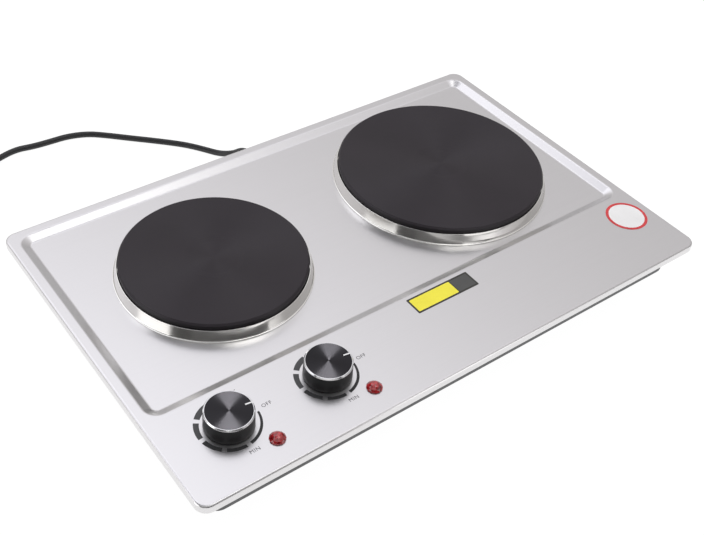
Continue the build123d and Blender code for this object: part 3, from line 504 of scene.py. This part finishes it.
print_black = plain("print_black", (0.012, 0.012, 0.013), PRINT_ROUGHNESS, grain=PRINT_GRAIN, change=0.2)
print_grey = plain("print_grey", (0.045, 0.045, 0.048), PRINT_ROUGHNESS, grain=PRINT_GRAIN, change=0.15)
print_word = plain("print_word", (0.02, 0.02, 0.022), PRINT_ROUGHNESS, grain=PRINT_GRAIN, change=0.15)


def dial_arc(centre, first, last):
    """Fills a bmesh with one flat arc of the dial."""
    def make(mesh):
        count = max(DIAL_LEAST, int(abs(last - first) / DIAL_STEP))
        rows = []
        for step in range(count + 1):
            angle = first + (last - first) * step / count
            thick = DIAL_THIN + (DIAL_THICK - DIAL_THIN) * (DIAL_START - angle) / DIAL_SPAN
            ray = (cos(radians(angle)), sin(radians(angle)))
            rows.append([
                mesh.verts.new((
                    (centre[0] + reach * ray[0]) * MM,
                    (centre[1] + reach * ray[1]) * MM,
                    PRINT_Z * MM,
                ))
                for reach in (DIAL_RADIUS - thick, DIAL_RADIUS)
            ])
        for one, two in zip(rows, rows[1:]):
            mesh.faces.new((one[0], two[0], two[1], one[1]))
        bmesh.ops.recalc_face_normals(mesh, faces=mesh.faces)
        if mesh.faces[:][0].normal.z < 0:
            bmesh.ops.reverse_faces(mesh, faces=mesh.faces)
    return make


def word(name, text, x, y):
    """Flat lettering on the rim, read from the front."""
    data = bpy.data.curves.new(name, "FONT")
    data.body = text
    data.size = WORD_HEIGHT * MM / CAPITAL_SHARE
    data.align_x = "CENTER"
    data.align_y = "CENTER"
    data.space_character = WORD_SPACING
    data.offset = WORD_THINNING
    piece = link(name, data)
    piece.location = (x * MM, y * MM, PRINT_Z * MM)
    dress(piece, print_word)
    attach(piece, "housing")


for side, centre in DIAL_CENTRES.items():
    for number, (first, last) in enumerate(DIAL_ARCS):
        ink = print_black if number < DIAL_BLACK_ARCS else print_grey
        build(f"{side}_dial_arc_{number}", dial_arc(centre, first, last), ink)
    for setting, (across, along) in DIAL_WORDS.items():
        word(f"{side}_dial_{setting}", setting.upper(), centre[0] + across, centre[1] + along)

# Red jewel lenses, cut in facets
LENS_COLLAR, LENS_COLLAR_HEIGHT = 6.25, 1.2
LENS_BEVEL, LENS_BEVEL_HEIGHT = 0.45, 0.3
LENS_GIRDLE, LENS_GIRDLE_HEIGHT = 4.9, 2.4
LENS_CROWN, LENS_CROWN_HEIGHT = 3.0, 3.9
LENS_TABLE, LENS_TOP = 1.6, 4.4
LENS_FACETS = 12
JEWEL_CLOUD = 420.0
JEWEL_DARK, JEWEL_LIGHT = (0.1, 0.002, 0.004), (0.52, 0.025, 0.03)
JEWEL_SMOOTH, JEWEL_ROUGH = 0.05, 0.12
jewel, jewel_shader = start_material(
    "jewel_red", (0.36, 0.01, 0.014), 0.06, IOR=1.6, Coat_Weight=0.7, Coat_Roughness=0.03,
)
jewel_cloud = noise(jewel, (JEWEL_CLOUD, JEWEL_CLOUD, JEWEL_CLOUD))
wire(jewel, tint(jewel, jewel_cloud, JEWEL_DARK, JEWEL_LIGHT), "Color", jewel_shader, "Base Color")
wire(jewel, spread(jewel, jewel_cloud, JEWEL_SMOOTH, JEWEL_ROUGH), 0, jewel_shader, "Roughness")


def lens(x, y):
    """Fills a bmesh with a collar and a dome of flat facets closed below."""
    def make(mesh):
        step = 2 * pi / LENS_FACETS

        def ring(radius, height, shift):
            """Corners at one height, shifted by a share of a facet."""
            return [
                mesh.verts.new((
                    (x + radius * cos((turn + shift) * step)) * MM,
                    (y + radius * sin((turn + shift) * step)) * MM,
                    (RIM_Z + height) * MM,
                ))
                for turn in range(LENS_FACETS)
            ]

        def band(low, high):
            """Four-sided faces between two rings."""
            for turn in range(LENS_FACETS):
                after = (turn + 1) % LENS_FACETS
                mesh.faces.new((low[turn], low[after], high[after], high[turn]))

        def facets(low, high, shifted):
            """Triangles between two rings that lie half a facet apart."""
            for turn in range(LENS_FACETS):
                after = (turn + 1) % LENS_FACETS
                if shifted:
                    mesh.faces.new((low[turn], low[after], high[turn]))
                    mesh.faces.new((low[after], high[after], high[turn]))
                else:
                    mesh.faces.new((low[turn], high[after], high[turn]))
                    mesh.faces.new((low[turn], low[after], high[after]))

        foot = ring(LENS_COLLAR, 0.0, 0)
        rim = ring(LENS_COLLAR, LENS_COLLAR_HEIGHT - LENS_BEVEL_HEIGHT, 0)
        lip = ring(LENS_COLLAR - LENS_BEVEL, LENS_COLLAR_HEIGHT, 0)
        girdle = ring(LENS_GIRDLE, LENS_GIRDLE_HEIGHT, 0.5)
        crown = ring(LENS_CROWN, LENS_CROWN_HEIGHT, 0)
        table = ring(LENS_TABLE, LENS_TOP, 0.5)
        band(foot, rim)
        band(rim, lip)
        facets(lip, girdle, True)
        facets(girdle, crown, False)
        facets(crown, table, True)
        mesh.faces.new(table)
        mesh.faces.new(list(reversed(foot)))
        bmesh.ops.recalc_face_normals(mesh, faces=mesh.faces)
    return make


for side, (x, y) in LAMPS.items():
    piece = build(f"{side}_jewel", lens(x, y), jewel)
    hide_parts(f"{side}_lamp_lens")

# Two blank stickers, thin film with a printed edge
STICKER_LIFT, FIELD_LIFT = 0.12, 0.14
LABEL_LEFT, LABEL_FRONT, LABEL_RIGHT, LABEL_BACK = -12.7, -96.3, 50.8, -79.2
LABEL_EDGE, LABEL_SPLIT, LABEL_GAP = 1.6, 31.0, 0.8
LABEL_CORNER, FIELD_CORNER = 0.8, 0.5
ROUND_CENTRE, ROUND_RADIUS, ROUND_EDGE = (223.3, -101.7), 18.5, 2.6
DISC_STEP = 5
FILM_ROUGHNESS, FILM_GRAIN = 0.35, 1800.0
label_yellow = plain("label_yellow", (0.78, 0.7, 0.04), FILM_ROUGHNESS, grain=FILM_GRAIN, change=0.05)
label_edge = plain("label_edge", (0.022, 0.021, 0.016), FILM_ROUGHNESS, grain=FILM_GRAIN, change=0.15)
label_grey = plain("label_grey", (0.06, 0.06, 0.058), FILM_ROUGHNESS, grain=FILM_GRAIN, change=0.12)
label_white = plain("label_white", (0.74, 0.735, 0.73), FILM_ROUGHNESS, grain=FILM_GRAIN, change=0.04)
label_red = plain("label_red", (0.55, 0.035, 0.04), FILM_ROUGHNESS, grain=FILM_GRAIN, change=0.08)


def film(outline, lift):
    """Fills a bmesh with a flat film of that outline, lift above the rim."""
    def make(mesh):
        upper = [mesh.verts.new((x * MM, y * MM, (RIM_Z + lift) * MM)) for x, y in outline]
        lower = [mesh.verts.new((x * MM, y * MM, RIM_Z * MM)) for x, y in outline]
        mesh.faces.new(upper)
        mesh.faces.new(list(reversed(lower)))
        for one in range(len(outline)):
            two = (one + 1) % len(outline)
            mesh.faces.new((lower[one], lower[two], upper[two], upper[one]))
        bmesh.ops.recalc_face_normals(mesh, faces=mesh.faces)
    return make


def oblong(left, front, right, back, corner):
    """Outline of a rectangle with rounded corners."""
    return rounded([(left, front, corner), (right, front, corner), (right, back, corner), (left, back, corner)])


def disc(centre, radius):
    """Outline of a circle."""
    turns = [radians(turn) for turn in range(0, 360, DISC_STEP)]
    return [(centre[0] + radius * cos(turn), centre[1] + radius * sin(turn)) for turn in turns]


def label_field(left, right):
    """Outline of a field between the label's front and back edges."""
    return oblong(left, LABEL_FRONT + LABEL_EDGE, right, LABEL_BACK - LABEL_EDGE, FIELD_CORNER)


label_outline = oblong(LABEL_LEFT, LABEL_FRONT, LABEL_RIGHT, LABEL_BACK, LABEL_CORNER)
field_outline = label_field(LABEL_LEFT + LABEL_EDGE, LABEL_SPLIT - LABEL_GAP / 2)
end_outline = label_field(LABEL_SPLIT + LABEL_GAP / 2, LABEL_RIGHT - LABEL_EDGE)
build("label_border", film(label_outline, STICKER_LIFT), label_edge)
build("label_field", film(field_outline, FIELD_LIFT), label_yellow)
build("label_end", film(end_outline, FIELD_LIFT), label_grey)
build("round_border", film(disc(ROUND_CENTRE, ROUND_RADIUS), STICKER_LIFT), label_red)
build("round_field", film(disc(ROUND_CENTRE, ROUND_RADIUS - ROUND_EDGE), FIELD_LIFT), label_white)

# Floor, studio and light, with lengths in metres
FLOOR_REACH, FLOOR_Z, FLOOR_CLOUD = 40.0, -0.0004, 3.0
FLOOR_GLOW, FLOOR_DARK, FLOOR_LIGHT = 0.98, 0.048, 0.052
MATT = 0.9
WALL_REACH, WALL_HEIGHT = 20.0, 3.0


def glowing(name, base, strength):
    """A matt material that gives off white light. Returns the material and its shader."""
    return start_material(name, base, MATT, Emission_Strength=strength, Emission_Color=WHITE)


def square(reach, height):
    """Corners of a level square round the object."""
    return [(-reach, -reach, height), (reach, -reach, height), (reach, reach, height), (-reach, reach, height)]


def furnish(name, places, faces, made, unseen=()):
    """A piece of the studio, hidden from the named kinds of ray."""
    data = bpy.data.meshes.new(name)
    data.from_pydata(places, [], faces)
    piece = link(name, data)
    for ray in unseen:
        setattr(piece, f"visible_{ray}", False)
    dress(piece, made)
    return piece


scene.view_settings.view_transform = "Standard"
floor_white, floor_shader = glowing("floor_white", grey(FLOOR_DARK), FLOOR_GLOW)
floor_cloud = noise(floor_white, (FLOOR_CLOUD, FLOOR_CLOUD, FLOOR_CLOUD))
floor_tint = tint(floor_white, floor_cloud, grey(FLOOR_DARK), grey(FLOOR_LIGHT))
wire(floor_white, floor_tint, "Color", floor_shader, "Base Color")
floor = furnish("floor", square(FLOOR_REACH, 0.0), [(0, 1, 2, 3)], floor_white)
floor.location.z = FLOOR_Z

# A low wall far off that closes the horizon in level views, and lights nothing
wall_places = square(WALL_REACH, 0.0) + square(WALL_REACH, WALL_HEIGHT)
wall_faces = [(side, (side + 1) % 4, (side + 1) % 4 + 4, side + 4) for side in range(4)]
furnish("far_wall", wall_places, wall_faces, floor_white, ("diffuse", "glossy", "transmission", "shadow"))

# The studio is brightest high at the back. It is darker behind the camera, at the horizon, in a spot overhead
# and in one high on the left: for each a direction, and shades by the cosine of the angle from it
SKY_BRIGHTEST = (-0.25, 0.2, 0.95)
SKY_SHADES = [
    (0.0, (0.49, 0.48, 0.48)), (0.45, (0.635, 0.62, 0.622)), (0.62, (0.805, 0.79, 0.8)),
    (0.8, (1.31, 1.31, 1.375)), (0.95, (1.66, 1.66, 1.76)),
]
SKY_SHADOWS = [
    ((-0.50, -0.65, 0.574), [(0.6, grey(1.0)), (0.72, grey(0.03))]),
    ((0.0, 0.0, 1.0), [(0.0, grey(0.3)), (0.28, grey(1.0))]),
    ((0.1, 0.12, 0.985), [(0.95, grey(1.0)), (0.985, grey(0.35))]),
    ((-0.42, 0.25, 0.872), [(0.945, grey(1.0)), (0.972, grey(0.05))]),
]
MIX_FIRST, MIX_SECOND, MIX_RESULT = 6, 7, 2
world = bpy.data.worlds.new("studio")
scene.world = world
world.use_nodes = True
sky_place = add_node(world, "ShaderNodeTexCoord")


def sky_ramp(direction, stops):
    """Brightness of the studio by the angle from one direction."""
    turn = add_node(world, "ShaderNodeVectorMath", operation="DOT_PRODUCT")
    turn.inputs[1].default_value = Vector(direction).normalized()
    wire(world, sky_place, "Generated", turn, 0)
    ramp = add_node(world, "ShaderNodeValToRGB")
    while len(ramp.color_ramp.elements) < len(stops):
        ramp.color_ramp.elements.new(0.5)
    for element, (position, shade) in zip(ramp.color_ramp.elements, stops):
        element.position = position
        element.color = (*shade, 1.0)
    wire(world, turn, "Value", ramp, "Fac")
    return ramp


sky, output = sky_ramp(SKY_BRIGHTEST, SKY_SHADES), "Color"
for direction, stops in SKY_SHADOWS:
    product = add_node(world, "ShaderNodeMix", data_type="RGBA", blend_type="MULTIPLY", Factor=1.0)
    wire(world, sky, output, product, MIX_FIRST)
    wire(world, sky_ramp(direction, stops), "Color", product, MIX_SECOND)
    sky, output = product, MIX_RESULT
wire(world, sky, output, world.node_tree.nodes["Background"], "Color")


def upright_card(one, two, low, high):
    """Corners of a standing card between two places on the floor."""
    return [(*one, low), (*two, low), (*two, high), (*one, high)]


# Light cards that only polished metal and gloss see, as corners and strength: left, middle, near right, two
# high in front, back and overhead
CARDS = [
    (upright_card((-2.28, 1.02), (-2.3, -0.5), 0.0, 1.3), 2.0),
    (upright_card((-2.1, -1.36), (-1.54, -1.97), 0.0, 1.0), 0.08),
    (upright_card((0.01, -0.364), (0.34, -0.537), 0.0, 0.22), 1.6),
    (upright_card((-2.49, -0.22), (-1.54, -1.97), 1.75, 4.0), 0.8),
    (upright_card((-1.54, -1.97), (0.43, -2.46), 1.75, 4.0), 0.8),
    (upright_card((1.77, 1.77), (0.0, 2.5), 0.0, 0.6), 0.55),
    ([(-0.1, -1.0, 2.5), (0.92, -1.0, 2.5), (0.92, -0.1, 2.5), (-0.1, -0.1, 2.5)], 2.2),
]
CARD_UNSEEN = ("camera", "diffuse", "transmission", "shadow")
for number, (places, strength) in enumerate(CARDS):
    card_white, _ = glowing(f"card_white_{number}", grey(0.0), strength)
    furnish(f"light_card_{number}", places, [(0, 1, 2, 3)], card_white, CARD_UNSEEN)

# A long lamp overhead, across the line of sight, that lights the spun caps alone
CAP_LAMP_PLACE, CAP_LAMP_SIZE, CAP_LAMP_POWER = (-0.15, -0.1, 1.5), (1.1, 0.2), 95.0
cap_group = bpy.data.collections.new("spun_caps")
for side in SIDES:
    cap_group.objects.link(nodes[f"{side}_knob_cap"])
lamp_data = bpy.data.lights.new("cap_lamp", "AREA")
lamp_data.shape = "RECTANGLE"
lamp_data.size, lamp_data.size_y = CAP_LAMP_SIZE
lamp_data.energy = CAP_LAMP_POWER
lamp = link("cap_lamp", lamp_data)
lamp.matrix_world = Matrix.Translation(CAP_LAMP_PLACE) @ Matrix.Rotation(CAMERA_AZIMUTH, 4, "Z")
lamp.light_linking.receiver_collection = cap_group

# A soft fill that matt surfaces take, kept out of the reflections
FILL_PLACE, FILL_SIZE, FILL_POWER = (0.0, 0.0, 1.8), 1.6, 22.0
fill_data = bpy.data.lights.new("fill", "AREA")
fill_data.shape = "SQUARE"
fill_data.size = FILL_SIZE
fill_data.energy = FILL_POWER
fill = link("fill", fill_data)
fill.location = FILL_PLACE
fill.visible_glossy = False

bpy.context.view_layer.update()
